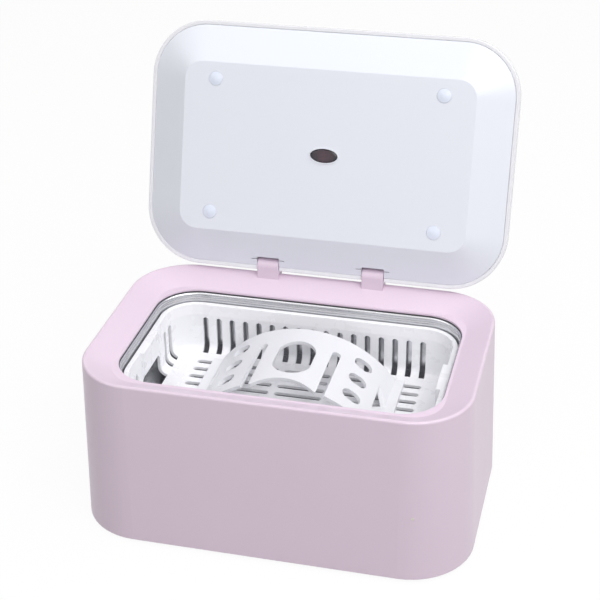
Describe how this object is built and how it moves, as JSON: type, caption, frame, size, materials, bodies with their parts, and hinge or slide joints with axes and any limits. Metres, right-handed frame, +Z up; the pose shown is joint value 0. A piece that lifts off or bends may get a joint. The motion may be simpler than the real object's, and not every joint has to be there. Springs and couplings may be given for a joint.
{
  "type": "pacifier sterilizer case",
  "caption": "Countertop steriliser case: an open hinged lid with a lamp window over a steel tank that holds a lift-out slotted basket and an arched holder.",
  "frame": {"origin": "under the middle of the part's box with the lid open, on the surface it stands on", "axes": "+X to the right along the front wall, +Y to the back where the hinge is, +Z up"},
  "size_m": [0.206, 0.1814, 0.2243],
  "materials": {
    "housing_plastic": "satin moulded plastic, fine texture",
    "base_plastic": "fine textured moulded plastic",
    "lid_plastic": "semi-gloss moulded plastic",
    "liner_plastic": "semi-gloss moulded plastic",
    "basket_plastic": "glossy moulded plastic",
    "holder_plastic": "glossy moulded plastic",
    "cap_plastic": "glossy moulded plastic",
    "button_plastic": "semi-gloss moulded plastic",
    "tank_steel": "polished deep-drawn stainless steel",
    "seal_rubber": "moulded silicone",
    "foot_rubber": "moulded rubber",
    "zinc_steel": "zinc-plated steel",
    "pin_steel": "turned stainless steel",
    "coupling_metal": "machined aluminium",
    "heat_sink_metal": "extruded aluminium",
    "piezo_ceramic": "fired piezo ceramic",
    "board_laminate": "glass-fibre board with green solder mask",
    "lamp_board_laminate": "glass-fibre board with white solder mask",
    "transformer_coil": "taped winding on a ferrite core",
    "device_epoxy": "moulded epoxy",
    "capacitor_sleeve": "shrunk plastic sleeve",
    "inlet_plastic": "moulded glass-filled plastic",
    "pin_brass": "plated brass",
    "switch_plastic": "moulded plastic",
    "lens_plastic": "clear moulded light pipe",
    "window_quartz": "dark tinted window",
    "led_phosphor": "lamp package",
    "magnet_metal": "nickel-plated magnet"
  },
  "bodies": {
    "body": {"housing": "housing_plastic", "base_plate": "base_plastic", "rubber_feet": "foot_rubber", "base_screws": "zinc_steel", "tank": "tank_steel", "tank_seal": "seal_rubber", "tank_clamps": "zinc_steel", "clamp_screws": "zinc_steel", "coupling_plate": "coupling_metal", "piezo_disc": "piezo_ceramic", "driver_board": "board_laminate", "board_screws": "zinc_steel", "transformer": "transformer_coil", "heat_sink": "heat_sink_metal", "power_transistors": "device_epoxy", "capacitors": "capacitor_sleeve", "power_inlet": "inlet_plastic", "inlet_pins": "pin_brass", "control_board": "board_laminate", "button_switches": "switch_plastic", "control_screws": "zinc_steel", "indicator_lens": "lens_plastic", "indicator_board": "board_laminate", "lid_sensor": "board_laminate"},
    "lid": {"lid_shell": "lid_plastic", "lid_liner": "liner_plastic", "lid_screws": "zinc_steel", "screw_caps": "cap_plastic", "window_lens": "window_quartz", "uv_board": "lamp_board_laminate", "uv_leds": "led_phosphor", "board_pegs": "zinc_steel", "lid_magnet": "magnet_metal", "hinge_pins": "pin_steel"},
    "basket": {"basket": "basket_plastic"},
    "holder": {"pacifier_holder": "holder_plastic"},
    "power_button": {"power_button": "button_plastic"},
    "mode_button": {"mode_button": "button_plastic"}
  },
  "joints": [
    {"name": "lid_hinge", "type": "hinge", "parent": "body", "child": "lid", "pos_m": [0, 0.04236, 0.0982], "axis": [-1, 0, 0], "range_deg": [-107.5, 0]},
    {"name": "basket_lift", "type": "slide", "parent": "body", "child": "basket", "axis": [0, 0, 1], "range_m": [0, 0.062]},
    {"name": "holder_lift", "type": "slide", "parent": "basket", "child": "holder", "axis": [0, 0, 1], "range_m": [0, 0.036]},
    {"name": "power_press", "type": "slide", "parent": "body", "child": "power_button", "axis": [1, 0, 0], "range_m": [0, 0.0008], "stiffness_N_per_m": 400, "springref_m": -0.001},
    {"name": "mode_press", "type": "slide", "parent": "body", "child": "mode_button", "axis": [1, 0, 0], "range_m": [0, 0.0008], "stiffness_N_per_m": 400, "springref_m": -0.001}
  ]
}
